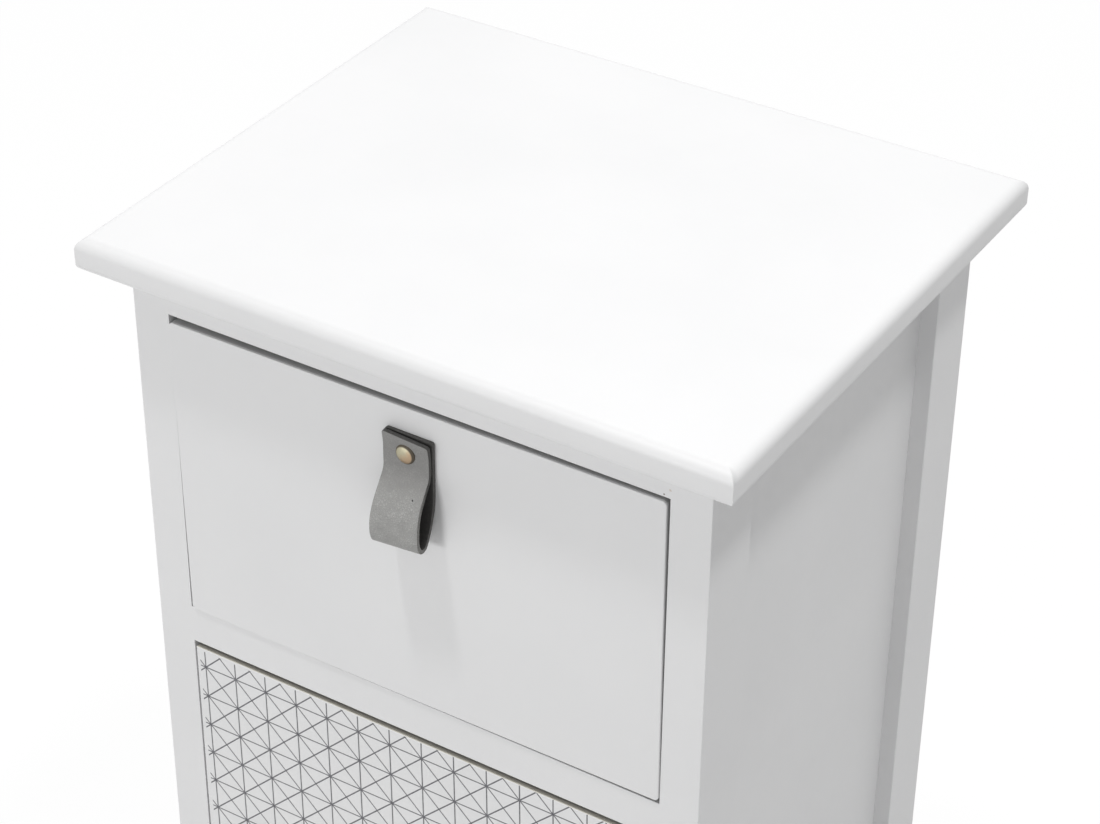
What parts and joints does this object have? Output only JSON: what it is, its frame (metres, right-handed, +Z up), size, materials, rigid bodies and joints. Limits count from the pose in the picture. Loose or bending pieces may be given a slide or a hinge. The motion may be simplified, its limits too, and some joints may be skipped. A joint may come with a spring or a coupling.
{
  "type": "nightstand",
  "caption": "Small white nightstand with a drawer over a lattice-printed cupboard door, leather strap pulls with brass studs, and straight square legs.",
  "frame": {"origin": "on the floor, at the middle of the top board's outline", "axes": "+Z up, -Y out of the front, +X to the right seen from the front"},
  "size_m": [0.36, 0.3, 0.6],
  "materials": {
    "painted_wood": "satin white paint",
    "printed_wood": "satin white paint, printed",
    "bare_wood": "sanded",
    "grey_leather": "pebbled",
    "stud_brass": "satin",
    "steel": "zinc plated",
    "ferrite": "matt",
    "white_plastic": "moulded"
  },
  "bodies": {
    "cabinet": {"back_panel": "painted_wood", "back_panel_nails": "steel", "bottom_panel": "painted_wood", "catch_housing": "white_plastic", "catch_magnet": "ferrite", "catch_pole_plates": "steel", "catch_screws": "steel", "divider_panel": "painted_wood", "floor_glides": "white_plastic", "frame_dowels": "bare_wood", "front_bottom_rail": "painted_wood", "front_left_post": "painted_wood", "front_mid_rail": "painted_wood", "front_right_post": "painted_wood", "front_top_rail": "painted_wood", "hinge_frame_screws": "steel", "left_drawer_runner": "bare_wood", "left_side_panel": "painted_wood", "lower_hinge_frame_leaf": "steel", "lower_hinge_pin": "steel", "rear_bottom_rail": "painted_wood", "rear_left_post": "painted_wood", "rear_mid_rail": "painted_wood", "rear_right_post": "painted_wood", "rear_top_rail": "painted_wood", "right_drawer_runner": "bare_wood", "right_side_panel": "painted_wood", "runner_screws": "steel", "top_panel": "painted_wood", "top_screws": "steel", "upper_hinge_frame_leaf": "steel", "upper_hinge_pin": "steel"},
    "drawer": {"drawer_back": "bare_wood", "drawer_bottom": "bare_wood", "drawer_box_front": "bare_wood", "drawer_front": "painted_wood", "drawer_front_screws": "steel", "drawer_left_side": "bare_wood", "drawer_right_side": "bare_wood", "drawer_strap": "grey_leather", "drawer_stud": "stud_brass", "drawer_stud_screw": "steel"},
    "door": {"door_panel": "printed_wood", "door_strap": "grey_leather", "door_stud": "stud_brass", "door_stud_screw": "steel", "hinge_door_screws": "steel", "lower_hinge_door_leaf": "steel", "strike_plate": "steel", "strike_screw": "steel", "upper_hinge_door_leaf": "steel"}
  },
  "joints": [
    {"name": "drawer_slide", "type": "slide", "parent": "cabinet", "child": "drawer", "axis": [0, -1, 0], "range_m": [0, 0.165]},
    {"name": "door_hinge", "type": "hinge", "parent": "cabinet", "child": "door", "pos_m": [0.13885, -0.1344, 0.21895], "axis": [0, 0, 1], "range_deg": [0, 170]}
  ]
}
